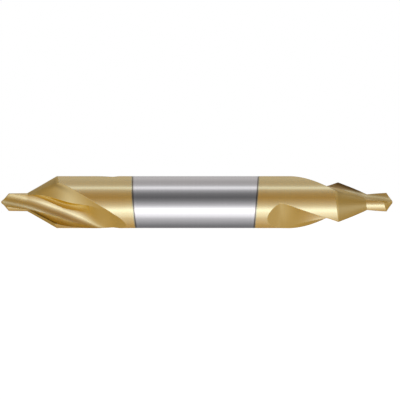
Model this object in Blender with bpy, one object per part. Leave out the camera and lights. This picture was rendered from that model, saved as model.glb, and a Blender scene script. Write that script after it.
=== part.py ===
"""Double-ended centre drill: a 6 mm bar with a pilot and a 60 degree countersink ground on each end.

Each end has two right-hand flutes. A flute is ground in two passes that meet in a crease: a deep
rounded groove, which gives the rake face, and a wide flat that clears the chips behind it.
The bar lies along X, centred on the origin. Angles at an end are turned about its own axis, in its
cutting direction, and distances are measured back from its tip.
"""

from math import acos, atan2, cos, hypot, pi, radians, sin, sqrt, tan

import bmesh
import bpy

MM = 0.001

# Bar
OVERALL_LENGTH = 45.0 * MM
SHANK_DIAMETER = 6.0 * MM
LEFT_COATED_LENGTH = 15.2 * MM
RIGHT_COATED_LENGTH = 15.6 * MM

# Pilot and its point
PILOT_DIAMETER = 2.2 * MM
PILOT_LENGTH = 2.95 * MM
PILOT_RELIEF = 0.11 * MM
POINT_ANGLE = radians(118.0)
POINT_RELIEF_ANGLE = radians(12.0)
CHISEL_CROWN = 0.05 * MM

# Countersink
COUNTERSINK_ANGLE = radians(60.0)
COUNTERSINK_RELIEF_ANGLE = radians(6.0)

# Both passes of a flute
FLUTE_LEAD = 38.0 * MM
TWIST_LENGTH = 12.9 * MM
RELIEF_SPAN = radians(75.0)

# Flat pass
FLAT_DIRECTION = radians(162.0)
FLAT_WEB_AT_PILOT = 0.95 * MM
FLAT_WEB_AT_BODY = 1.79 * MM
FLAT_NOSE_LENGTH = 4.1 * MM
FLAT_NOSE_SLOPE = 0.38
FLAT_BODY_SLOPE = 0.09
RUNOUT_START = 12.9 * MM
RUNOUT_ANGLE = radians(20.0)
RUNOUT_BLEND = 0.5 * MM

# Groove pass
RAKE_DIRECTION = radians(143.5)
WALL_DIRECTION = radians(179.5)
RAKE_FULLNESS = 0.40
WALL_FULLNESS = 0.33
RUNOUT_FULLNESS = 0.75
CREASE_OFFSET_AT_PILOT = 0.48 * MM
CREASE_OFFSET_AT_BODY = 0.50 * MM
CREASE_DRIFT_START = 8.0 * MM
CREASE_DRIFT = 0.30
WALL_TURN_START = 7.25 * MM
WALL_TURN_END = 11.7 * MM
GROOVE_BLEND = 0.8 * MM

# How each end is turned about X
LEFT_TURN = radians(-105.0)
RIGHT_TURN = radians(0.0)

# Facets
LAND_FACETS = 16
GROOVE_FACETS = 10
FLAT_FACETS = 6
POINT_RINGS = 4
PILOT_RINGS = 5
COUNTERSINK_RINGS = 13
BODY_RINGS = 12
RUNOUT_RINGS = 8
NARROWEST_STRIP = 0.12 * MM
MERGE_DISTANCE = 0.002 * MM

SHARP_EDGE = radians(25.0)

# Searches for a place along a curve
SEARCH_STEPS = 60
HALVINGS = 40
SETTLING_ROUNDS = 6

# Finish
COATING_COLOUR = (0.50, 0.36, 0.15, 1.0)
COATING_ROUGHNESS = 0.28
STEEL_COLOUR = (0.42, 0.41, 0.42, 1.0)
STEEL_ROUGHNESS = 0.30

SHANK_RADIUS = SHANK_DIAMETER / 2
PILOT_RADIUS = PILOT_DIAMETER / 2
POINT_SLOPE = 1 / tan(POINT_ANGLE / 2)
COUNTERSINK_SLOPE = 1 / tan(COUNTERSINK_ANGLE / 2)
COUNTERSINK_END = PILOT_LENGTH + (SHANK_RADIUS - PILOT_RADIUS) * COUNTERSINK_SLOPE
FLAT_NOSE_END = PILOT_LENGTH + FLAT_NOSE_LENGTH
TURN_PER_METRE = 2 * pi / FLUTE_LEAD


def clear_scene():
    for thing in list(bpy.data.objects):
        bpy.data.objects.remove(thing, do_unlink=True)


def polar(radius, angle):
    return (radius * cos(angle), radius * sin(angle))


def between(start, end, share):
    return start + (end - start) * share


def spread(start, end, count):
    """Evenly spaced values from the start on, without the end."""
    return [between(start, end, step / count) for step in range(count)]


# Envelope: the form turned and relieved before the flutes are cut

def core_radius():
    """Half of the web that the grooves leave at the tip, which is half of the chisel edge."""
    return hypot(*groove_point(0.0, deepest_share(0.0)))


def chisel_angle():
    return angle_of(groove_point(0.0, deepest_share(0.0)), FLAT_DIRECTION)


def nominal_radius(station):
    """Radius at the cutting lip. On the point the lip runs straight out from the chisel edge."""
    if station < POINT_LENGTH:
        return hypot(max(station - CHISEL_CROWN, 0.0) / POINT_SLOPE, CORE_RADIUS)
    countersunk = PILOT_RADIUS + (station - PILOT_LENGTH) / COUNTERSINK_SLOPE
    return min(SHANK_RADIUS, max(PILOT_RADIUS, countersunk))


def relief_turn(behind):
    """Turn behind the lip that counts for relief. It falls back to nothing at the next lip."""
    if behind <= RELIEF_SPAN:
        return max(behind, 0.0)
    return RELIEF_SPAN * max(pi - behind, 0.0) / (pi - RELIEF_SPAN)


def relief_slope(station):
    """How far back the end's faces fall, for each metre of arc behind the lip."""
    point = tan(POINT_RELIEF_ANGLE)
    countersink = tan(COUNTERSINK_RELIEF_ANGLE)
    if station <= POINT_LENGTH:
        return point
    if station <= PILOT_LENGTH:
        return between(point, countersink, (station - POINT_LENGTH) / (PILOT_LENGTH - POINT_LENGTH))
    if station <= COUNTERSINK_END:
        return countersink
    share = (station - COUNTERSINK_END) / (RUNOUT_START - COUNTERSINK_END)
    return between(countersink, 0.0, min(share, 1.0))


def relieved_station(station, behind):
    return station + relief_slope(station) * nominal_radius(station) * relief_turn(behind)


def relieved_radius(station, behind):
    """Radius on a land. Only the pilot and what joins it are smaller behind the lip."""
    if station <= POINT_LENGTH:
        share = station / POINT_LENGTH
    elif station <= PILOT_LENGTH:
        share = 1.0
    else:
        share = max(0.0, (COUNTERSINK_END - station) / (COUNTERSINK_END - PILOT_LENGTH))
    return nominal_radius(station) - share * PILOT_RELIEF * relief_turn(behind) / RELIEF_SPAN


# Flute: where its two passes run at a distance back from the tip

def twist(station):
    return -TURN_PER_METRE * min(station, TWIST_LENGTH)


def flat_web(station):
    """Distance from the axis to the flat."""
    along = min(max(station - PILOT_LENGTH, 0.0), FLAT_NOSE_LENGTH)
    slope_change = (FLAT_NOSE_SLOPE - FLAT_BODY_SLOPE) / FLAT_NOSE_LENGTH
    nose_rise = FLAT_NOSE_SLOPE * along - slope_change * along * along / 2
    full_rise = (FLAT_NOSE_SLOPE + FLAT_BODY_SLOPE) * FLAT_NOSE_LENGTH / 2
    web = between(FLAT_WEB_AT_PILOT, FLAT_WEB_AT_BODY, nose_rise / full_rise)
    web += FLAT_BODY_SLOPE * max(station - FLAT_NOSE_END, 0.0)
    return web + tan(RUNOUT_ANGLE) * eased(station - RUNOUT_START, RUNOUT_BLEND)


def eased(distance, blend):
    """A ramp from zero whose foot is rounded over the blend on both sides."""
    if distance <= -blend:
        return 0.0
    if distance >= blend:
        return distance
    return (distance + blend) ** 2 / (4 * blend)


def flute_end():
    """The station where the flat has risen out of the shank."""
    return solve(lambda station: flat_web(station) - SHANK_RADIUS, RUNOUT_START, OVERALL_LENGTH / 2)


def flat_point(station, across):
    """Point of the flat, at a distance across it from its middle, as x and y of the section."""
    web = flat_web(station)
    angle = FLAT_DIRECTION + twist(station)
    x = web * cos(angle) - across * sin(angle)
    y = web * sin(angle) + across * cos(angle)
    return (x, y)


def flat_half_width(station):
    return sqrt(max(SHANK_RADIUS ** 2 - flat_web(station) ** 2, 0.0))


def lip_point(station):
    """Where the groove leaves the full shank radius."""
    web = min(max(flat_web(station), FLAT_WEB_AT_BODY), SHANK_RADIUS)
    return polar(SHANK_RADIUS, FLAT_DIRECTION + twist(station) - acos(web / SHANK_RADIUS))


def crease_offset(station):
    """Where the groove meets the flat, across it. The crease drifts to the heel as the groove runs out."""
    along = (station - PILOT_LENGTH) / (CREASE_DRIFT_START - PILOT_LENGTH)
    offset = between(CREASE_OFFSET_AT_PILOT, CREASE_OFFSET_AT_BODY, min(max(along, 0.0), 1.0))
    offset += CREASE_DRIFT * eased(station - CREASE_DRIFT_START, GROOVE_BLEND)
    return min(offset, flat_half_width(station))


def meeting(first, first_angle, second, second_angle):
    """Distances along two lines from their points to where they cross."""
    across = sin(second_angle - first_angle)
    dx = second[0] - first[0]
    dy = second[1] - first[1]
    along_first = (dx * sin(second_angle) - dy * cos(second_angle)) / across
    along_second = (dx * sin(first_angle) - dy * cos(first_angle)) / across
    return along_first, along_second


def wall_turn(station):
    """How far the groove's wall has turned into the flat's plane, from 0 to 1."""
    risen = eased(station - WALL_TURN_START, GROOVE_BLEND) - eased(station - WALL_TURN_END, GROOVE_BLEND)
    return risen / (WALL_TURN_END - WALL_TURN_START)


def groove_point(station, share):
    """Point of the groove from the lip, at share 0, to the crease, at share 1."""
    lip = lip_point(station)
    crease = flat_point(station, crease_offset(station))
    turned = wall_turn(station)
    rake = RAKE_DIRECTION + twist(station) + pi
    wall = between(WALL_DIRECTION, FLAT_DIRECTION + pi / 2, turned) + twist(station) + pi
    from_lip, from_crease = meeting(lip, rake, crease, wall)
    lip_pull = polar(between(RAKE_FULLNESS, RUNOUT_FULLNESS, turned) * from_lip, rake)
    crease_pull = polar(between(WALL_FULLNESS, RUNOUT_FULLNESS, turned) * from_crease, wall)
    rest = 1 - share
    weights = (rest ** 3, 3 * rest ** 2 * share, 3 * rest * share ** 2, share ** 3)
    point = []
    for axis in (0, 1):
        knots = (lip[axis], lip[axis] + lip_pull[axis], crease[axis] + crease_pull[axis], crease[axis])
        point.append(sum(weight * knot for weight, knot in zip(weights, knots)))
    return point


def flute_point(station, share):
    """Point of a flute: the groove up to share 1, then the flat up to share 2."""
    if share <= 1:
        return groove_point(station, share)
    start = crease_offset(station)
    return flat_point(station, between(start, flat_half_width(station), share - 1))


# Rings: closed loops round an end, each with the same number of points

def solve(function, low, high):
    """The place between low and high where the function changes sign."""
    low_sign = function(low) > 0
    for _ in range(HALVINGS):
        middle = (low + high) / 2
        if (function(middle) > 0) == low_sign:
            low = middle
        else:
            high = middle
    return (low + high) / 2


def angle_of(point, near):
    """The point's angle, turned by whole turns to lie nearest to another angle."""
    angle = atan2(point[1], point[0])
    return angle + 2 * pi * round((near - angle) / (2 * pi))


def deepest_share(station):
    """Where the groove comes nearest to the axis."""
    shares = spread(0.0, 1.0, SEARCH_STEPS) + [1.0]
    return min(shares, key=lambda share: hypot(*groove_point(station, share)))


def lip_share(station):
    """Where the envelope at the lip meets the groove."""
    radius = nominal_radius(station)
    if hypot(*groove_point(station, 0.0)) <= radius + MERGE_DISTANCE:
        return 0.0
    deepest = deepest_share(station)
    return solve(lambda share: hypot(*groove_point(station, share)) - radius, 0.0, deepest)


def relieved_flute_point(station, share, lip_angle):
    """Point of the flute on the ring, and its angle and station."""
    place = station
    near = lip_angle + pi / 2
    for _ in range(SETTLING_ROUNDS):
        point = flute_point(place, share)
        angle = angle_of(point, near)
        place = relieved_station(station, lip_angle + pi - angle)
    return hypot(*point), angle, place


def heel_share(station, lip_angle):
    """Where the flute comes out through the envelope behind the next land."""
    def standing_out(share):
        radius, angle, _ = relieved_flute_point(station, share, lip_angle)
        return radius - relieved_radius(station, lip_angle + pi - angle)

    deepest = deepest_share(station)
    if standing_out(2.0) <= 0:
        return 2.0
    return solve(standing_out, deepest, 2.0)


def half_ring(station):
    """Radius, angle and station of each point over half a turn, from a heel to the next heel."""
    lip = lip_share(station)
    lip_angle = angle_of(flute_point(station, lip), FLAT_DIRECTION + twist(station))
    heel = heel_share(station, lip_angle)
    _, heel_angle, _ = relieved_flute_point(station, heel, lip_angle)
    crease = crease_share(station, lip, heel)
    shares = spread(lip, crease, GROOVE_FACETS) + spread(crease, heel, FLAT_FACETS)
    angles = spread(heel_angle - pi, lip_angle, LAND_FACETS)
    land = [land_point(station, lip_angle, angle) for angle in angles]
    return land + [relieved_flute_point(station, share, lip_angle) for share in shares]


def crease_share(station, lip, heel):
    """Where the ring changes from groove to flat. A strip too narrow for facets is left to the other."""
    crease = min(1.0, heel)
    if is_narrow(station, crease, heel):
        crease = heel
    if is_narrow(station, lip, crease):
        crease = lip
    return crease


def is_narrow(station, start, end):
    first = flute_point(station, start)
    second = flute_point(station, end)
    return hypot(second[0] - first[0], second[1] - first[1]) < NARROWEST_STRIP


def chisel_radius(station, angle):
    """Radius on the two flanks that rise to the chisel edge like a roof with a falling ridge."""
    along = abs(cos(angle - CHISEL_ANGLE)) * CHISEL_CROWN / CORE_RADIUS
    across = abs(sin(angle - CHISEL_ANGLE)) * POINT_SLOPE
    return station / (along + across)


def land_point(station, lip_angle, angle):
    behind = lip_angle - angle
    radius = relieved_radius(station, behind)
    if station < POINT_LENGTH:
        radius = min(radius, chisel_radius(station, angle))
    return radius, angle, relieved_station(station, behind)


def chisel_half_ring():
    """Half of the chisel edge: the ring at the tip, pressed flat to a ridge."""
    half = CORE_RADIUS
    offsets = spread(-half, half, LAND_FACETS) + [half] * (GROOVE_FACETS + FLAT_FACETS)
    return [(offset, CHISEL_ANGLE, CHISEL_CROWN * abs(offset) / half) for offset in offsets]


def plain_half_ring(station, seam):
    """Half a ring on the full shank, whose flute columns are drawn together at the seam."""
    points = [(SHANK_RADIUS, angle, station) for angle in spread(seam - pi, seam, LAND_FACETS)]
    return points + [(SHANK_RADIUS, seam, station)] * (GROOVE_FACETS + FLAT_FACETS)


def full_ring(half):
    return half + [(radius, angle + pi, station) for radius, angle, station in half]


def stations(end):
    """The rings' places from the first one behind the chisel edge to the end of the flutes."""
    places = spread(CHISEL_CROWN, POINT_LENGTH, POINT_RINGS + 1)[1:]
    places += spread(POINT_LENGTH, PILOT_LENGTH, PILOT_RINGS)
    places += spread(PILOT_LENGTH, COUNTERSINK_END, COUNTERSINK_RINGS)
    places += spread(COUNTERSINK_END, RUNOUT_START, BODY_RINGS)
    opening = acos(min(flat_web(RUNOUT_START) / SHANK_RADIUS, 1.0))
    for step in range(RUNOUT_RINGS):
        web = SHANK_RADIUS * cos(opening * (1 - step / RUNOUT_RINGS))
        places.append(solve(lambda place: flat_web(place) - web, RUNOUT_START, end))
    return places


def end_rings(coated_length):
    """All rings of one end, from the chisel edge to the edge of the coating."""
    end = flute_end()
    rings = [full_ring(chisel_half_ring())]
    rings += [full_ring(half_ring(place)) for place in stations(end)]
    seam = FLAT_DIRECTION + twist(end)
    rings.append(full_ring(plain_half_ring(end, seam)))
    rings.append(full_ring(plain_half_ring(coated_length, seam)))
    return rings


# Mesh

def add_rings(mesh, rings, centre, direction, turn):
    """Vertices of an end's rings. Direction 1 points from the left tip inwards, -1 from the right."""
    loops = []
    for ring in rings:
        loop = []
        for radius, angle, station in ring:
            around = direction * (angle + turn)
            x = centre - direction * (OVERALL_LENGTH / 2 - station)
            loop.append(mesh.verts.new((x, -radius * cos(around), radius * sin(around))))
        loops.append(loop)
    return loops


def bridge(mesh, first, second, material):
    count = len(first)
    for index in range(count):
        following = (index + 1) % count
        corners = (first[index], second[index], second[following], first[following])
        face = mesh.faces.new(corners)
        face.material_index = material


def land_columns(loop):
    """The points of a loop without its flute columns."""
    half = len(loop) // 2
    return loop[:LAND_FACETS] + loop[half:half + LAND_FACETS]


def nearest_turn(loop, other):
    """The other loop, started and ordered so that its points lie next to the first loop's."""
    backwards = list(reversed(other))
    best = min(range(len(backwards)), key=lambda index: (backwards[index].co - loop[0].co).yz.length)
    return backwards[best:] + backwards[:best]


def drill_mesh():
    mesh = bmesh.new()
    left = add_rings(mesh, end_rings(LEFT_COATED_LENGTH), 0.0, 1, LEFT_TURN)
    right = add_rings(mesh, end_rings(RIGHT_COATED_LENGTH), 0.0, -1, RIGHT_TURN)
    for loops in (left, right):
        for first, second in zip(loops, loops[1:]):
            bridge(mesh, first, second, 0)
    left_edge = land_columns(left[-1])
    right_edge = land_columns(right[-1])
    bridge(mesh, left_edge, nearest_turn(left_edge, right_edge), 1)
    bmesh.ops.remove_doubles(mesh, verts=mesh.verts, dist=MERGE_DISTANCE)
    return mesh


def metal(name, colour, roughness):
    material = bpy.data.materials.new(name)
    material.use_nodes = True
    shader = material.node_tree.nodes["Principled BSDF"]
    shader.inputs["Base Color"].default_value = colour
    shader.inputs["Metallic"].default_value = 1.0
    shader.inputs["Roughness"].default_value = roughness
    return material


def make_drill():
    data = bpy.data.meshes.new("centre_drill")
    mesh = drill_mesh()
    mesh.to_mesh(data)
    mesh.free()
    data.materials.append(metal("gold_coating", COATING_COLOUR, COATING_ROUGHNESS))
    data.materials.append(metal("ground_steel", STEEL_COLOUR, STEEL_ROUGHNESS))
    data.shade_smooth()
    data.set_sharp_from_angle(angle=SHARP_EDGE)
    drill = bpy.data.objects.new("centre_drill", data)
    bpy.context.collection.objects.link(drill)
    return drill


CORE_RADIUS = core_radius()
CHISEL_ANGLE = chisel_angle()
POINT_LENGTH = CHISEL_CROWN + POINT_SLOPE * sqrt(PILOT_RADIUS ** 2 - CORE_RADIUS ** 2)

clear_scene()
make_drill()
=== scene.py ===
"""Looks of a double-ended centre drill: gold coating on both ends, bare ground steel between.

The drill lies along X with its middle at the origin, and distances are metres. Its surface is that of
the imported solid, made by the same formulas with far more facets. A station is a distance back from
the nearer tip.
"""

from math import acos, atan2, cos, hypot, pi, radians, sin, sqrt, tan

import bmesh
import bpy
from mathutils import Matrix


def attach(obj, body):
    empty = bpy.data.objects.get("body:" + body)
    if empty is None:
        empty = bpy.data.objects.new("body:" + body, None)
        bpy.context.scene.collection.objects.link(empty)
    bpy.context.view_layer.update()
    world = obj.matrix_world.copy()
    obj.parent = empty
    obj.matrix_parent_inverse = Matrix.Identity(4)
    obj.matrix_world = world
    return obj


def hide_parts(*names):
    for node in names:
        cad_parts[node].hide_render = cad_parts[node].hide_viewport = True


MM = 0.001

# Bar
OVERALL_LENGTH = 45.0 * MM
SHANK_DIAMETER = 6.0 * MM

# Pilot and its point
PILOT_DIAMETER = 2.2 * MM
PILOT_LENGTH = 2.95 * MM
PILOT_RELIEF = 0.11 * MM
POINT_ANGLE = radians(118.0)
POINT_RELIEF_ANGLE = radians(12.0)
CHISEL_CROWN = 0.05 * MM

# Countersink
COUNTERSINK_ANGLE = radians(60.0)
COUNTERSINK_RELIEF_ANGLE = radians(6.0)

# Both passes of a flute
FLUTE_LEAD = 38.0 * MM
TWIST_LENGTH = 12.9 * MM
RELIEF_SPAN = radians(75.0)

# Flat pass
FLAT_DIRECTION = radians(162.0)
FLAT_WEB_AT_PILOT = 0.95 * MM
FLAT_WEB_AT_BODY = 1.79 * MM
FLAT_NOSE_LENGTH = 4.1 * MM
FLAT_NOSE_SLOPE = 0.38
FLAT_BODY_SLOPE = 0.09
RUNOUT_START = 12.9 * MM
RUNOUT_ANGLE = radians(20.0)
RUNOUT_BLEND = 0.5 * MM

# Groove pass
RAKE_DIRECTION = radians(143.5)
WALL_DIRECTION = radians(179.5)
RAKE_FULLNESS = 0.40
WALL_FULLNESS = 0.33
RUNOUT_FULLNESS = 0.75
CREASE_OFFSET_AT_PILOT = 0.48 * MM
CREASE_OFFSET_AT_BODY = 0.50 * MM
CREASE_DRIFT_START = 8.0 * MM
CREASE_DRIFT = 0.30
WALL_TURN_START = 7.25 * MM
WALL_TURN_END = 11.7 * MM
GROOVE_BLEND = 0.8 * MM

# How each end is turned about X
LEFT_TURN = radians(-105.0)
RIGHT_TURN = radians(0.0)

# Facets
LAND_FACETS = 64
GROOVE_FACETS = 36
FLAT_FACETS = 20
POINT_RINGS = 14
PILOT_RINGS = 12
COUNTERSINK_RINGS = 36
BODY_RINGS = 50
RUNOUT_RINGS = 30
SHANK_RINGS = 12
MERGE_DISTANCE = 0.0005 * MM
SHARP_EDGE = radians(25.0)

# Kinds of face, each the number of its material
LANDS = 0
GROOVES = 1
GROUND = 2

# Searches for a place along a curve
SEARCH_STEPS = 60
HALVINGS = 40
SETTLING_ROUNDS = 6

SHANK_RADIUS = SHANK_DIAMETER / 2
PILOT_RADIUS = PILOT_DIAMETER / 2
POINT_SLOPE = 1 / tan(POINT_ANGLE / 2)
COUNTERSINK_SLOPE = 1 / tan(COUNTERSINK_ANGLE / 2)
COUNTERSINK_END = PILOT_LENGTH + (SHANK_RADIUS - PILOT_RADIUS) * COUNTERSINK_SLOPE
FLAT_NOSE_END = PILOT_LENGTH + FLAT_NOSE_LENGTH
TURN_PER_METRE = 2 * pi / FLUTE_LEAD

# Bare band between the coated ends. Its edges bow, and lean so that the band narrows downwards.
LEFT_COATING_EDGE = -7.33 * MM
RIGHT_COATING_EDGE = 6.87 * MM
LEFT_EDGE_LEAN = 0.20 * MM
LEFT_EDGE_BOW = 0.14 * MM
RIGHT_EDGE_LEAN = 0.25 * MM
RIGHT_EDGE_BOW = 0.02 * MM
COATING_FADE = 0.02 * MM
EDGE_STAIN_WIDTH = 0.19 * MM

# Colours, linear
STEEL = (0.58, 0.57, 0.59, 1.0)
GOLD = (0.65, 0.32, 0.010, 1.0)
GOLD_WARM = (0.65, 0.305, 0.004, 1.0)
GROUND_GOLD = (0.54, 0.280, 0.010, 1.0)
# Painted shade: browner gold in the hollows
HOLLOW_SHADE_GOLD = (0.30, 0.115, 0.003, 1.0)
# Painted shade: dark brown along the lips of the grooves and at the shoulders of the flats
PAINTED_SHADE_GOLD = (0.05, 0.020, 0.001, 1.0)
EDGE_STAIN = (0.10, 0.065, 0.045, 1.0)
WHITE = (1.0, 1.0, 1.0, 1.0)

# Reflection. The coating is a brown gold body under a strong reflection with a pale tint.
GOLD_IOR = 4.0
GOLD_SHINE = (0.92, 1.0, 0.76, 1.0)
GROUND_SHINE = (0.60, 0.64, 0.46, 1.0)
# Painted shade: a weaker reflection in the hollows
HOLLOW_SHADE_SHINE = (0.40, 0.30, 0.15, 1.0)
# Painted shade: a weaker reflection along the lips and shoulders
PAINTED_SHADE_SHINE = (0.12, 0.08, 0.03, 1.0)
STEEL_ROUGHNESS = 0.18
GOLD_ROUGHNESS = 0.14
GROUND_ROUGHNESS = 0.32

# Edges, rounded in the shading only
EDGE_ROUNDING = 0.05 * MM
EDGE_SAMPLES = 6

# Painted shade in the hollows: the gold there is browner and its reflection weaker. The levels are shares
# of open sky.
HOLLOW_REACH = 2.5 * MM
HOLLOW_SAMPLES = 8
HOLLOW_DARK = 0.35
HOLLOW_CLEAR = 0.95

# Clouds of warmer gold
CLOUD_SCALE = 350.0
CLOUD_DETAIL = 2.0
CLOUD_STARTS = 0.35
CLOUD_FULL = 0.65

# Faint turning lines round the bar
LINE_SCALE = 9000.0
LINE_DETAIL = 3.0
LINE_STARTS = 0.3
LINE_FULL = 0.7
LINE_DEPTH = 0.05

# Matt stretches of the grooves, by distance from the tip
PILOT_MATT = 0.8
PILOT_POLISH_STARTS = 1.5 * MM
PILOT_POLISH_FULL = 5.0 * MM
GROOVE_TURNS_MATT = 8.5 * MM
GROOVE_IS_MATT = 11.0 * MM

# Painted shade in the grooves, along the lips of countersink and body
LIP_SHADE_SHARE = 0.8
BODY_SHADE_SHARE = 0.35
LIP_SHADE_DARK_DEPTH = 0.10 * MM
LIP_SHADE_DEPTH = 0.70 * MM
LIP_SHADE_RISE = 1.3 * MM
LIP_SHADE_FADE = 0.5 * MM

# Painted shade on the ground faces: a patch at each shoulder, and the flanks of the countersinks
SHOULDER_SHADE_SHARE = 0.45
SHOULDER_RIM = 0.05 * MM
SHOULDER_DARK_DEPTH = 0.30 * MM
SHOULDER_DEPTH = 0.70 * MM
SHOULDER_STARTS = 4.6 * MM
SHOULDER_ENDS = 8.8 * MM
FLANK_SHADE_SHARE = 0.22
FLANK_FADE = 0.1 * MM

# Sockets of a Mix node for each kind of value: the two that it mixes, and its result
MIX_SOCKETS = {"FLOAT": (2, 3, 0), "RGBA": (6, 7, 2)}

# Studio: brightness by the direction round the bar, in degrees up from the camera's side
BRIGHTEST = 2.7
STUDIO_LEVELS = (
    (-180, 1.00), (-165, 0.40), (-138, 0.24), (-118, 0.37), (-96, 0.60), (-78, 0.84), (-62, 1.50),
    (-52, 1.75), (-44, 2.15), (-37, 2.50), (-30, 2.05), (-24, 1.50), (-17, 0.98), (-8, 0.64),
    (5, 0.34), (20, 0.17), (38, 0.27), (48, 0.47), (55, 0.64), (61, 1.20), (68, 1.55), (75, 0.88),
    (84, 0.64), (100, 0.58), (130, 0.76), (150, 0.64), (165, 0.75), (180, 1.00),
)
SKY_STARTS = 84
SKY_ENDS = 150
SKY_TINT = (1.03, 1.0, 0.97, 1.0)

# Level of the studio towards the bar's ends, by how far a direction leans along the bar
END_LEVEL = 0.28
END_SHARE = 0.50
END_STARTS = 0.15
END_FULL = 0.55

# Camera. The drill's middle is a place in the photograph, in pixels across and down.
PIXELS_PER_METRE = 8700.0
IMAGE_WIDTH = 400.0
DRILL_MIDDLE = (196.8, 202.15)
CAMERA_DISTANCE = 1.2
SENSOR_WIDTH = 36.0

# Floor. The camera sees the shadow's share of the matte surface, and the rest glows.
FLOOR_SIZE = 3.0
FLOOR_GAP = 0.1 * MM
FLOOR_WHITE = 0.9
FLOOR_GLOW = 3.3
FLOOR_SHADOW = 0.80


def polar(radius, angle):
    return (radius * cos(angle), radius * sin(angle))


def between(start, end, share):
    return start + (end - start) * share


def spread(start, end, count):
    """Evenly spaced values from the start on, without the end."""
    return [between(start, end, step / count) for step in range(count)]


# Envelope: the form turned and relieved before the flutes are cut

def core_radius():
    """Half of the web that the grooves leave at the tip, which is half of the chisel edge."""
    return hypot(*groove_point(0.0, deepest_share(0.0)))


def chisel_angle():
    """Direction of the chisel edge."""
    return angle_of(groove_point(0.0, deepest_share(0.0)), FLAT_DIRECTION)


def nominal_radius(station):
    """Radius at the cutting lip. On the point the lip runs straight out from the chisel edge."""
    if station < POINT_LENGTH:
        return hypot(max(station - CHISEL_CROWN, 0.0) / POINT_SLOPE, CORE_RADIUS)
    countersunk = PILOT_RADIUS + (station - PILOT_LENGTH) / COUNTERSINK_SLOPE
    return min(SHANK_RADIUS, max(PILOT_RADIUS, countersunk))


def relief_turn(behind):
    """Turn behind the lip that counts for relief. It falls back to nothing at the next lip."""
    if behind <= RELIEF_SPAN:
        return max(behind, 0.0)
    return RELIEF_SPAN * max(pi - behind, 0.0) / (pi - RELIEF_SPAN)


def relief_slope(station):
    """How far back the end's faces fall, for each metre of arc behind the lip."""
    point = tan(POINT_RELIEF_ANGLE)
    countersink = tan(COUNTERSINK_RELIEF_ANGLE)
    if station <= POINT_LENGTH:
        return point
    if station <= PILOT_LENGTH:
        return between(point, countersink, (station - POINT_LENGTH) / (PILOT_LENGTH - POINT_LENGTH))
    if station <= COUNTERSINK_END:
        return countersink
    share = (station - COUNTERSINK_END) / (RUNOUT_START - COUNTERSINK_END)
    return between(countersink, 0.0, min(share, 1.0))


def relieved_station(station, behind):
    return station + relief_slope(station) * nominal_radius(station) * relief_turn(behind)


def relieved_radius(station, behind):
    """Radius on a land. Only the pilot and what joins it are smaller behind the lip."""
    if station <= POINT_LENGTH:
        share = station / POINT_LENGTH
    elif station <= PILOT_LENGTH:
        share = 1.0
    else:
        share = max(0.0, (COUNTERSINK_END - station) / (COUNTERSINK_END - PILOT_LENGTH))
    return nominal_radius(station) - share * PILOT_RELIEF * relief_turn(behind) / RELIEF_SPAN


# Flute: where its two passes run at a distance back from the tip

def twist(station):
    """Turn of the flutes about the axis. It stops where they run out."""
    return -TURN_PER_METRE * min(station, TWIST_LENGTH)


def eased(distance, blend):
    """A ramp from zero whose foot is rounded over the blend on both sides."""
    if distance <= -blend:
        return 0.0
    if distance >= blend:
        return distance
    return (distance + blend) ** 2 / (4 * blend)


def flat_web(station):
    """Distance from the axis to the flat."""
    along = min(max(station - PILOT_LENGTH, 0.0), FLAT_NOSE_LENGTH)
    slope_change = (FLAT_NOSE_SLOPE - FLAT_BODY_SLOPE) / FLAT_NOSE_LENGTH
    nose_rise = FLAT_NOSE_SLOPE * along - slope_change * along * along / 2
    full_rise = (FLAT_NOSE_SLOPE + FLAT_BODY_SLOPE) * FLAT_NOSE_LENGTH / 2
    web = between(FLAT_WEB_AT_PILOT, FLAT_WEB_AT_BODY, nose_rise / full_rise)
    web += FLAT_BODY_SLOPE * max(station - FLAT_NOSE_END, 0.0)
    return web + tan(RUNOUT_ANGLE) * eased(station - RUNOUT_START, RUNOUT_BLEND)


def flat_point(station, across):
    """Point of the flat, at a distance across it from its middle, as x and y of the section."""
    web = flat_web(station)
    angle = FLAT_DIRECTION + twist(station)
    x = web * cos(angle) - across * sin(angle)
    y = web * sin(angle) + across * cos(angle)
    return (x, y)


def flat_half_width(station):
    """From the flat's middle to where it meets the shank's cylinder."""
    return sqrt(max(SHANK_RADIUS ** 2 - flat_web(station) ** 2, 0.0))


def lip_point(station):
    """Where the groove leaves the full shank radius."""
    web = min(max(flat_web(station), FLAT_WEB_AT_BODY), SHANK_RADIUS)
    return polar(SHANK_RADIUS, FLAT_DIRECTION + twist(station) - acos(web / SHANK_RADIUS))


def crease_offset(station):
    """Where the groove meets the flat, across it. The crease drifts to the heel as the groove runs out."""
    along = (station - PILOT_LENGTH) / (CREASE_DRIFT_START - PILOT_LENGTH)
    offset = between(CREASE_OFFSET_AT_PILOT, CREASE_OFFSET_AT_BODY, min(max(along, 0.0), 1.0))
    offset += CREASE_DRIFT * eased(station - CREASE_DRIFT_START, GROOVE_BLEND)
    return min(offset, flat_half_width(station))


def meeting(first, first_angle, second, second_angle):
    """Distances along two lines from their points to where they cross."""
    across = sin(second_angle - first_angle)
    dx = second[0] - first[0]
    dy = second[1] - first[1]
    along_first = (dx * sin(second_angle) - dy * cos(second_angle)) / across
    along_second = (dx * sin(first_angle) - dy * cos(first_angle)) / across
    return along_first, along_second


def wall_turn(station):
    """How far the groove's wall has turned into the flat's plane, from 0 to 1."""
    risen = eased(station - WALL_TURN_START, GROOVE_BLEND) - eased(station - WALL_TURN_END, GROOVE_BLEND)
    return risen / (WALL_TURN_END - WALL_TURN_START)


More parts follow.
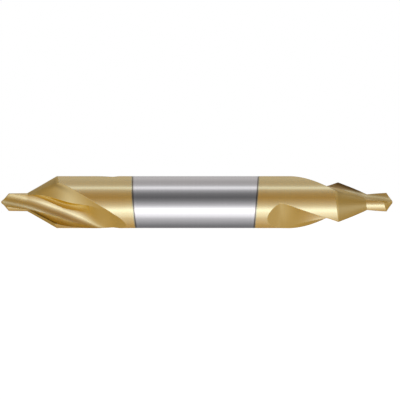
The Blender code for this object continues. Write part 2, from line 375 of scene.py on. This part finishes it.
def groove_point(station, share):
    """Point of the groove from the lip, at share 0, to the crease, at share 1."""
    lip = lip_point(station)
    crease = flat_point(station, crease_offset(station))
    turned = wall_turn(station)
    rake = RAKE_DIRECTION + twist(station) + pi
    wall = between(WALL_DIRECTION, FLAT_DIRECTION + pi / 2, turned) + twist(station) + pi
    from_lip, from_crease = meeting(lip, rake, crease, wall)
    lip_pull = polar(between(RAKE_FULLNESS, RUNOUT_FULLNESS, turned) * from_lip, rake)
    crease_pull = polar(between(WALL_FULLNESS, RUNOUT_FULLNESS, turned) * from_crease, wall)
    rest = 1 - share
    weights = (rest ** 3, 3 * rest ** 2 * share, 3 * rest * share ** 2, share ** 3)
    point = []
    for axis in (0, 1):
        knots = (lip[axis], lip[axis] + lip_pull[axis], crease[axis] + crease_pull[axis], crease[axis])
        point.append(sum(weight * knot for weight, knot in zip(weights, knots)))
    return point


def flute_point(station, share):
    """Point of a flute: the groove up to share 1, then the flat up to share 2."""
    if share <= 1:
        return groove_point(station, share)
    start = crease_offset(station)
    return flat_point(station, between(start, flat_half_width(station), share - 1))


# Rings: closed loops round an end, each with the same number of points

def solve(function, low, high):
    """The place between low and high where the function changes sign."""
    low_sign = function(low) > 0
    for _ in range(HALVINGS):
        middle = (low + high) / 2
        if (function(middle) > 0) == low_sign:
            low = middle
        else:
            high = middle
    return (low + high) / 2


def flute_end():
    """The station where the flat has risen out of the shank."""
    return solve(lambda station: flat_web(station) - SHANK_RADIUS, RUNOUT_START, OVERALL_LENGTH / 2)


def angle_of(point, near):
    """The point's angle, turned by whole turns to lie nearest to another angle."""
    angle = atan2(point[1], point[0])
    return angle + 2 * pi * round((near - angle) / (2 * pi))


def deepest_share(station):
    """Where the groove comes nearest to the axis."""
    shares = spread(0.0, 1.0, SEARCH_STEPS) + [1.0]
    return min(shares, key=lambda share: hypot(*groove_point(station, share)))


def lip_share(station):
    """Where the envelope at the lip meets the groove."""
    radius = nominal_radius(station)
    if hypot(*groove_point(station, 0.0)) <= radius + MERGE_DISTANCE:
        return 0.0
    deepest = deepest_share(station)
    return solve(lambda share: hypot(*groove_point(station, share)) - radius, 0.0, deepest)


def relieved_flute_point(station, share, lip_angle):
    """Point of the flute on the ring, and its angle and station."""
    place = station
    near = lip_angle + pi / 2
    for _ in range(SETTLING_ROUNDS):
        point = flute_point(place, share)
        angle = angle_of(point, near)
        place = relieved_station(station, lip_angle + pi - angle)
    return hypot(*point), angle, place


def heel_share(station, lip_angle):
    """Where the flute comes out through the envelope behind the next land."""
    def standing_out(share):
        radius, angle, _ = relieved_flute_point(station, share, lip_angle)
        return radius - relieved_radius(station, lip_angle + pi - angle)

    if standing_out(2.0) <= 0:
        return 2.0
    return solve(standing_out, deepest_share(station), 2.0)


def half_ring(station):
    """Radius, angle and station of each point over half a turn, from a heel to the next heel."""
    lip = lip_share(station)
    lip_angle = angle_of(flute_point(station, lip), FLAT_DIRECTION + twist(station))
    heel = heel_share(station, lip_angle)
    _, heel_angle, _ = relieved_flute_point(station, heel, lip_angle)
    crease = min(1.0, heel)
    angles = spread(heel_angle - pi, lip_angle, LAND_FACETS)
    shares = spread(lip, crease, GROOVE_FACETS) + spread(crease, heel, FLAT_FACETS)
    land = [land_point(station, lip_angle, angle) for angle in angles]
    return land + [relieved_flute_point(station, share, lip_angle) for share in shares]


def chisel_radius(station, angle):
    """Radius on the two flanks that rise to the chisel edge like a roof with a falling ridge."""
    along = abs(cos(angle - CHISEL_ANGLE)) * CHISEL_CROWN / CORE_RADIUS
    across = abs(sin(angle - CHISEL_ANGLE)) * POINT_SLOPE
    return station / (along + across)


def land_point(station, lip_angle, angle):
    """Radius, angle and station of a point on the land, relieved by its turn behind the lip."""
    behind = lip_angle - angle
    radius = relieved_radius(station, behind)
    if station < POINT_LENGTH:
        radius = min(radius, chisel_radius(station, angle))
    return radius, angle, relieved_station(station, behind)


def chisel_half_ring():
    """Half of the chisel edge: the ring at the tip, pressed flat to a ridge."""
    half = CORE_RADIUS
    offsets = spread(-half, half, LAND_FACETS) + [half] * (GROOVE_FACETS + FLAT_FACETS)
    return [(offset, CHISEL_ANGLE, CHISEL_CROWN * abs(offset) / half) for offset in offsets]


def plain_half_ring(station, seam):
    """Half a ring on the full shank, whose flute columns are drawn together at the seam."""
    points = [(SHANK_RADIUS, angle, station) for angle in spread(seam - pi, seam, LAND_FACETS)]
    return points + [(SHANK_RADIUS, seam, station)] * (GROOVE_FACETS + FLAT_FACETS)


def full_ring(half):
    """The half ring and the same again half a turn on."""
    return half + [(radius, angle + pi, station) for radius, angle, station in half]


def stations(end):
    """The rings' places from the first one behind the chisel edge to the end of the flutes."""
    places = spread(CHISEL_CROWN, POINT_LENGTH, POINT_RINGS + 1)[1:]
    places += spread(POINT_LENGTH, PILOT_LENGTH, PILOT_RINGS)
    places += spread(PILOT_LENGTH, COUNTERSINK_END, COUNTERSINK_RINGS)
    places += spread(COUNTERSINK_END, RUNOUT_START, BODY_RINGS)
    opening = acos(min(flat_web(RUNOUT_START) / SHANK_RADIUS, 1.0))
    for step in range(RUNOUT_RINGS):
        web = SHANK_RADIUS * cos(opening * (1 - step / RUNOUT_RINGS))
        places.append(solve(lambda place: flat_web(place) - web, RUNOUT_START, end))
    return places


def end_rings():
    """All rings of one end, from the chisel edge to where the flutes have run out."""
    end = flute_end()
    rings = [full_ring(chisel_half_ring())]
    rings += [full_ring(half_ring(place)) for place in stations(end)]
    rings.append(full_ring(plain_half_ring(end, FLAT_DIRECTION + twist(end))))
    return rings


# Mesh

def add_rings(mesh, rings, direction, turn):
    """Vertices of an end's rings. Direction 1 points from the left tip inwards, -1 from the right."""
    loops = []
    for ring in rings:
        loop = []
        for radius, angle, station in ring:
            around = direction * (angle + turn)
            x = -direction * (OVERALL_LENGTH / 2 - station)
            loop.append(mesh.verts.new((x, -radius * cos(around), radius * sin(around))))
        loops.append(loop)
    return loops


def bridge(mesh, first, second, finishes=None):
    """A strip of faces between two loops, with the finishes repeated round it."""
    count = len(first)
    for index in range(count):
        following = (index + 1) % count
        face = mesh.faces.new((first[index], second[index], second[following], first[following]))
        if finishes:
            face.material_index = finishes[index % len(finishes)]


def column_finishes(ring):
    """Finish of each facet over half a turn, behind the ring of that number."""
    is_point = ring <= POINT_RINGS
    is_countersink = 0 <= ring - POINT_RINGS - PILOT_RINGS - 1 < COUNTERSINK_RINGS
    land = GROUND if is_point or is_countersink else LANDS
    return [land] * LAND_FACETS + [GROOVES] * GROOVE_FACETS + [GROUND] * FLAT_FACETS


def land_columns(loop):
    """The points of a loop without its flute columns."""
    half = len(loop) // 2
    return loop[:LAND_FACETS] + loop[half:half + LAND_FACETS]


def nearest_turn(loop, other):
    """The other loop, started and ordered so that its points lie next to the first loop's."""
    backwards = list(reversed(other))
    best = min(range(len(backwards)), key=lambda index: (backwards[index].co - loop[0].co).yz.length)
    return backwards[best:] + backwards[:best]


def bridge_shank(mesh, first, last):
    """Rings along the plain shank, from the last ring of one end to that of the other."""
    previous = first
    for step in range(1, SHANK_RINGS):
        pairs = zip(first, last)
        loop = [mesh.verts.new(start.co.lerp(end.co, step / SHANK_RINGS)) for start, end in pairs]
        bridge(mesh, previous, loop)
        previous = loop
    bridge(mesh, previous, last)


def drill_mesh():
    """The whole surface: the rings of both ends, joined along the shank."""
    mesh = bmesh.new()
    left = add_rings(mesh, end_rings(), 1, LEFT_TURN)
    right = add_rings(mesh, end_rings(), -1, RIGHT_TURN)
    for loops in (left, right):
        for ring, (first, second) in enumerate(zip(loops, loops[1:])):
            bridge(mesh, first, second, column_finishes(ring))
    left_edge = land_columns(left[-1])
    bridge_shank(mesh, left_edge, nearest_turn(left_edge, land_columns(right[-1])))
    bmesh.ops.remove_doubles(mesh, verts=mesh.verts, dist=MERGE_DISTANCE)
    return mesh


def make_drill():
    """The one piece of the scene, which takes the solid's place."""
    data = bpy.data.meshes.new("coated_centre_drill")
    mesh = drill_mesh()
    mesh.to_mesh(data)
    mesh.free()
    for material in coatings():
        data.materials.append(material)
    data.shade_smooth()
    data.set_sharp_from_angle(angle=SHARP_EDGE)
    drill = bpy.data.objects.new("coated_centre_drill", data)
    bpy.context.collection.objects.link(drill)
    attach(drill, "root")
    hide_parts("centre_drill")


# Shader nodes

class Nodes:
    """A node tree, with short calls to add nodes and to join them."""

    def __init__(self, owner):
        owner.use_nodes = True
        self.tree = owner.node_tree
        self.tree.nodes.clear()

    def add(self, kind, settings=None, **inputs):
        node = self.tree.nodes.new(kind)
        for name, value in (settings or {}).items():
            setattr(node, name, value)
        for name, value in inputs.items():
            self.put(node.inputs[name.replace("_", " ")], value)
        return node

    def put(self, socket, value):
        if isinstance(value, bpy.types.NodeSocket):
            self.tree.links.new(value, socket)
        else:
            socket.default_value = value

    def math(self, operation, *values):
        node = self.tree.nodes.new("ShaderNodeMath")
        node.operation = operation
        for socket, value in zip(node.inputs, values):
            self.put(socket, value)
        return node.outputs[0]

    def product(self, first, *others):
        """All the values multiplied together."""
        for other in others:
            first = self.math("MULTIPLY", first, other)
        return first

    def mixed(self, kind, share, first, second):
        """A value between two values, which are FLOAT for numbers or RGBA for colours."""
        first_socket, second_socket, result = MIX_SOCKETS[kind]
        node = self.tree.nodes.new("ShaderNodeMix")
        node.data_type = kind
        self.put(node.inputs[0], share)
        self.put(node.inputs[first_socket], first)
        self.put(node.inputs[second_socket], second)
        return node.outputs[result]

    def mix(self, share, first, second):
        """A colour between two colours."""
        return self.mixed("RGBA", share, first, second)

    def between(self, share, start, end):
        """A number between two numbers."""
        return self.mixed("FLOAT", share, start, end)

    def scaled(self, colour, factor):
        node = self.tree.nodes.new("ShaderNodeVectorMath")
        node.operation = "SCALE"
        self.put(node.inputs[0], colour)
        self.put(node.inputs["Scale"], factor)
        return node.outputs[0]

    def rise(self, value, start, end):
        """Smooth step from 0 to 1 as the value goes from start to end."""
        node = self.tree.nodes.new("ShaderNodeMapRange")
        node.interpolation_type = "SMOOTHSTEP"
        for socket, given in zip(node.inputs, (value, start, end)):
            self.put(socket, given)
        return node.outputs[0]

    def fall(self, value, start, end):
        """Smooth step from 1 to 0 as the value goes from start to end."""
        return self.math("SUBTRACT", 1.0, self.rise(value, start, end))


def grey(level):
    return (level, level, level, 1.0)


# Coating: where it lies, where it is matt, and where shade is painted on it

def edge_inset(nodes, height, lean, bow):
    """How far a coating edge lies nearer the middle of the bar at a height from -1 to 1."""
    bowed = nodes.product(height, height, bow)
    return nodes.math("SUBTRACT", bowed, nodes.product(height, lean))


def coating_depth(nodes, x, z):
    """Distance past the nearer edge of the bare band, positive where the drill is coated."""
    height = nodes.math("DIVIDE", z, SHANK_RADIUS)
    left = nodes.math("SUBTRACT", LEFT_COATING_EDGE, x)
    left = nodes.math("ADD", left, edge_inset(nodes, height, LEFT_EDGE_LEAN, LEFT_EDGE_BOW))
    right = nodes.math("SUBTRACT", x, RIGHT_COATING_EDGE)
    right = nodes.math("ADD", right, edge_inset(nodes, height, RIGHT_EDGE_LEAN, RIGHT_EDGE_BOW))
    return nodes.math("MAXIMUM", left, right)


def tip_distance(nodes, axes):
    return nodes.math("SUBTRACT", OVERALL_LENGTH / 2, nodes.math("ABSOLUTE", axes[0]))


def depth_inside(nodes, axes, station):
    """How far a place lies inside the bar and the cones of its countersinks."""
    across = nodes.product(axes[1], axes[1])
    upward = nodes.product(axes[2], axes[2])
    radius = nodes.math("SQRT", nodes.math("ADD", across, upward))
    past_pilot = nodes.math("SUBTRACT", station, PILOT_LENGTH)
    cone = nodes.math("ADD", nodes.math("DIVIDE", past_pilot, COUNTERSINK_SLOPE), PILOT_RADIUS)
    return nodes.math("SUBTRACT", nodes.math("MINIMUM", cone, SHANK_RADIUS), radius)


def no_share(nodes, axes):
    return 0.0


def full_share(nodes, axes):
    return 1.0


def groove_ground(nodes, axes):
    """The grooves are polished along the body and matt at the tip and where they run out."""
    station = tip_distance(nodes, axes)
    tip = nodes.fall(station, PILOT_POLISH_STARTS, PILOT_POLISH_FULL)
    run_out = nodes.rise(station, GROOVE_TURNS_MATT, GROOVE_IS_MATT)
    return nodes.math("MAXIMUM", nodes.product(tip, PILOT_MATT), run_out)


def lip_painted_shade(nodes, axes):
    """Painted shade: the grooves are dark brown along the lips of the countersinks, and browner along the
    body.
    """
    station = tip_distance(nodes, axes)
    inside = depth_inside(nodes, axes, station)
    near_lip = nodes.fall(inside, LIP_SHADE_DARK_DEPTH, LIP_SHADE_DEPTH)
    on_cone = nodes.rise(station, PILOT_LENGTH, PILOT_LENGTH + LIP_SHADE_RISE)
    on_body = nodes.rise(station, COUNTERSINK_END, COUNTERSINK_END + LIP_SHADE_FADE)
    strength = nodes.between(on_body, LIP_SHADE_SHARE, BODY_SHADE_SHARE)
    before_run_out = nodes.fall(station, COUNTERSINK_END + LIP_SHADE_FADE, GROOVE_IS_MATT)
    return nodes.product(near_lip, on_cone, strength, before_run_out)


def shoulder_shade_patch(nodes, station, inside):
    """Strength of the painted shade on a flat, strongest at the shoulder and clear of its rim."""
    before = nodes.rise(station, SHOULDER_STARTS, COUNTERSINK_END)
    after = nodes.fall(station, COUNTERSINK_END, SHOULDER_ENDS)
    off_rim = nodes.rise(inside, SHOULDER_RIM, SHOULDER_DARK_DEPTH)
    return nodes.product(before, after, off_rim, SHOULDER_SHADE_SHARE)


def flank_shade(nodes, station):
    """Strength of the painted shade on the flanks of the countersinks."""
    past_pilot = nodes.rise(station, PILOT_LENGTH - FLANK_FADE, PILOT_LENGTH)
    before_body = nodes.fall(station, COUNTERSINK_END - FLANK_FADE, COUNTERSINK_END)
    return nodes.product(past_pilot, before_body, FLANK_SHADE_SHARE)


def shoulder_painted_shade(nodes, axes):
    """Painted shade: the flats have a brown patch at the shoulder, and the countersink flanks are a little
    browner.
    """
    station = tip_distance(nodes, axes)
    inside = depth_inside(nodes, axes, station)
    near_rim = nodes.fall(inside, SHOULDER_DARK_DEPTH, SHOULDER_DEPTH)
    patch = shoulder_shade_patch(nodes, station, inside)
    return nodes.product(near_rim, nodes.math("MAXIMUM", patch, flank_shade(nodes, station)))


# Materials

def open_sky(nodes):
    """1 where the surface lies open, and less in the hollows, where shade is painted."""
    sky = nodes.add("ShaderNodeAmbientOcclusion", {"samples": HOLLOW_SAMPLES}, Distance=HOLLOW_REACH)
    return nodes.rise(sky.outputs["AO"], HOLLOW_DARK, HOLLOW_CLEAR)


def gold_colour(nodes, place, ground, clear, painted_shade):
    """The coating's colour, with clouds of warmer gold, and painted shade that makes it browner in the
    hollows and along lips and shoulders.
    """
    noise = nodes.add("ShaderNodeTexNoise", Vector=place, Scale=CLOUD_SCALE, Detail=CLOUD_DETAIL)
    cloud = nodes.rise(noise.outputs["Fac"], CLOUD_STARTS, CLOUD_FULL)
    gold = nodes.mix(cloud, GOLD, GOLD_WARM)
    gold = nodes.mix(ground, gold, GROUND_GOLD)
    gold = nodes.mix(clear, HOLLOW_SHADE_GOLD, gold)
    return nodes.mix(painted_shade, gold, PAINTED_SHADE_GOLD)


def gold_shine(nodes, ground, clear, painted_shade):
    """Tint of the coating's reflection, weaker where shade is painted."""
    shine = nodes.mix(ground, GOLD_SHINE, GROUND_SHINE)
    shine = nodes.mix(clear, HOLLOW_SHADE_SHINE, shine)
    return nodes.mix(painted_shade, shine, PAINTED_SHADE_SHINE)


def turning_lines(nodes, x):
    """Brightness along the bar, a little under 1 in the lines."""
    one_way = {"noise_dimensions": "1D"}
    noise = nodes.add("ShaderNodeTexNoise", one_way, W=x, Scale=LINE_SCALE, Detail=LINE_DETAIL)
    line = nodes.rise(noise.outputs["Fac"], LINE_STARTS, LINE_FULL)
    return nodes.between(line, 1.0 - LINE_DEPTH, 1.0)


def surface_colour(nodes, x, depth, coated, gold):
    """Steel or gold, with the coating's dark edge band and the turning lines."""
    near_edge = nodes.fall(nodes.math("ABSOLUTE", depth), 0.0, EDGE_STAIN_WIDTH)
    colour = nodes.mix(near_edge, nodes.mix(coated, STEEL, gold), EDGE_STAIN)
    return nodes.scaled(colour, turning_lines(nodes, x))


def surface_roughness(nodes, coated, ground):
    gold = nodes.between(ground, GOLD_ROUGHNESS, GROUND_ROUGHNESS)
    return nodes.between(coated, STEEL_ROUGHNESS, gold)


def add_surface(nodes, coated, colour, roughness, shine):
    """The shader: the bare steel is a metal, and the coating is not."""
    rounded = nodes.add("ShaderNodeBevel", {"samples": EDGE_SAMPLES}, Radius=EDGE_ROUNDING)
    shader = nodes.add(
        "ShaderNodeBsdfPrincipled",
        Base_Color=colour,
        Metallic=nodes.math("SUBTRACT", 1.0, coated),
        Roughness=roughness,
        IOR=GOLD_IOR,
        Specular_Tint=nodes.mix(coated, WHITE, shine),
        Normal=rounded.outputs[0],
    )
    nodes.add("ShaderNodeOutputMaterial", Surface=shader.outputs[0])


def coating(name, ground_share, shade_share):
    """The drill's material for one kind of face, from how matt that kind is and where shade is painted on
    it.
    """
    material = bpy.data.materials.new(name)
    nodes = Nodes(material)
    place = nodes.add("ShaderNodeTexCoord").outputs["Object"]
    axes = nodes.add("ShaderNodeSeparateXYZ", Vector=place).outputs
    depth = coating_depth(nodes, axes[0], axes[2])
    coated = nodes.rise(depth, 0.0, COATING_FADE)
    ground = ground_share(nodes, axes)
    # Painted shade along the lips and shoulders
    painted_shade = shade_share(nodes, axes)
    # Painted shade in the hollows, from how open the sky is
    clear = open_sky(nodes)
    gold = gold_colour(nodes, place, ground, clear, painted_shade)
    colour = surface_colour(nodes, axes[0], depth, coated, gold)
    roughness = surface_roughness(nodes, coated, ground)
    add_surface(nodes, coated, colour, roughness, gold_shine(nodes, ground, clear, painted_shade))
    return material


def coatings():
    """The drill's materials, in the order of the kinds of face."""
    # The grooves get painted shade along the lips, and the ground faces at the shoulders and flanks
    return (
        coating("coated_steel", no_share, no_share),
        coating("coated_groove", groove_ground, lip_painted_shade),
        coating("coated_ground", full_share, shoulder_painted_shade),
    )


# Studio

def studio_ramp(nodes, turn):
    """Brightness of the strips, looked up by a turn from 0 to 1 for -180 to 180 degrees."""
    ramp = nodes.add("ShaderNodeValToRGB", Fac=turn)
    elements = ramp.color_ramp.elements
    elements.remove(elements[1])
    for index, (angle, level) in enumerate(STUDIO_LEVELS):
        position = (angle + 180) / 360
        element = elements[0] if index == 0 else elements.new(position)
        element.position = position
        tint = SKY_TINT if SKY_STARTS <= angle <= SKY_ENDS else WHITE
        element.color = [level / BRIGHTEST * part for part in tint[:3]] + [1.0]
    return nodes.scaled(ramp.outputs[0], BRIGHTEST)


def turn_round_bar(nodes, axes):
    """A direction's turn round the bar, from 0 to 1, with the camera's side at one half."""
    towards_camera = nodes.math("MULTIPLY", axes[1], -1.0)
    turn = nodes.math("ARCTAN2", axes[2], towards_camera)
    return nodes.math("ADD", nodes.math("DIVIDE", turn, 2 * pi), 0.5)


def studio_colour(nodes, axes):
    """Soft strips round the bar, drawn together to one level towards its ends."""
    strips = studio_ramp(nodes, turn_round_bar(nodes, axes))
    end = nodes.rise(nodes.math("ABSOLUTE", axes[0]), END_STARTS, END_FULL)
    return nodes.mix(nodes.product(end, END_SHARE), strips, grey(END_LEVEL))


def make_world():
    """The studio. Camera and transmission rays see a plain white instead."""
    world = bpy.data.worlds.new("studio")
    bpy.context.scene.world = world
    nodes = Nodes(world)
    direction = nodes.add("ShaderNodeTexCoord").outputs["Generated"]
    axes = nodes.add("ShaderNodeSeparateXYZ", Vector=direction).outputs
    path = nodes.add("ShaderNodeLightPath").outputs
    seen = nodes.math("MAXIMUM", path["Is Camera Ray"], path["Is Transmission Ray"])
    colour = nodes.mix(seen, studio_colour(nodes, axes), WHITE)
    background = nodes.add("ShaderNodeBackground", Color=colour)
    nodes.add("ShaderNodeOutputWorld", Surface=background.outputs[0])


# Floor and camera

def floor_material():
    """Matte, so that it takes the drill's shadow, with a glow for the camera that clears to white."""
    material = bpy.data.materials.new("white_floor")
    nodes = Nodes(material)
    matte = nodes.add("ShaderNodeBsdfDiffuse", Color=grey(FLOOR_WHITE)).outputs[0]
    glow = nodes.add("ShaderNodeEmission", Color=WHITE, Strength=FLOOR_GLOW).outputs[0]
    seen = nodes.add("ShaderNodeLightPath").outputs["Is Camera Ray"]
    share = nodes.math("MULTIPLY", seen, 1 - FLOOR_SHADOW)
    mixed = nodes.add("ShaderNodeMixShader")
    for socket, value in zip(mixed.inputs, (share, matte, glow)):
        nodes.put(socket, value)
    nodes.add("ShaderNodeOutputMaterial", Surface=mixed.outputs[0])
    return material


def make_floor():
    """A square floor just under the drill. It is left out of the drill's reflections."""
    data = bpy.data.meshes.new("floor")
    half = FLOOR_SIZE / 2
    height = -SHANK_RADIUS - FLOOR_GAP
    square = ((-half, -half), (half, -half), (half, half), (-half, half))
    corners = [(x, y, height) for x, y in square]
    data.from_pydata(corners, [], [(0, 1, 2, 3)])
    data.materials.append(floor_material())
    floor = bpy.data.objects.new("floor", data)
    floor.visible_glossy = False
    floor.visible_diffuse = False
    floor.visible_shadow = False
    bpy.context.collection.objects.link(floor)


def make_camera():
    """A level camera that shows the drill at the photograph's scale and place."""
    data = bpy.data.cameras.new("camera")
    data.sensor_width = SENSOR_WIDTH
    frame_width = IMAGE_WIDTH / PIXELS_PER_METRE
    data.lens = SENSOR_WIDTH * CAMERA_DISTANCE / frame_width
    camera = bpy.data.objects.new("camera", data)
    right_of_drill = (IMAGE_WIDTH / 2 - DRILL_MIDDLE[0]) / PIXELS_PER_METRE
    above_drill = (DRILL_MIDDLE[1] - IMAGE_WIDTH / 2) / PIXELS_PER_METRE
    camera.location = (right_of_drill, -CAMERA_DISTANCE, above_drill)
    camera.rotation_euler = (pi / 2, 0.0, 0.0)
    bpy.context.collection.objects.link(camera)
    bpy.context.scene.camera = camera


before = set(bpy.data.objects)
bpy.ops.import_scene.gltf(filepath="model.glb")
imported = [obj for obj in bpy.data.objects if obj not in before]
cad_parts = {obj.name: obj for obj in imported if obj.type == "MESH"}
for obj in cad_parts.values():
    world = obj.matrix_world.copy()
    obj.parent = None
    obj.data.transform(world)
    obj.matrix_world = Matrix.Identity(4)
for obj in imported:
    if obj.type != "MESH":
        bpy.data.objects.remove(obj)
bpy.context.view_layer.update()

# Sizes that follow from the groove's form
CORE_RADIUS = core_radius()
CHISEL_ANGLE = chisel_angle()
POINT_LENGTH = CHISEL_CROWN + POINT_SLOPE * sqrt(PILOT_RADIUS ** 2 - CORE_RADIUS ** 2)

bpy.context.scene.view_settings.view_transform = "Standard"
make_camera()
make_world()
make_floor()
make_drill()
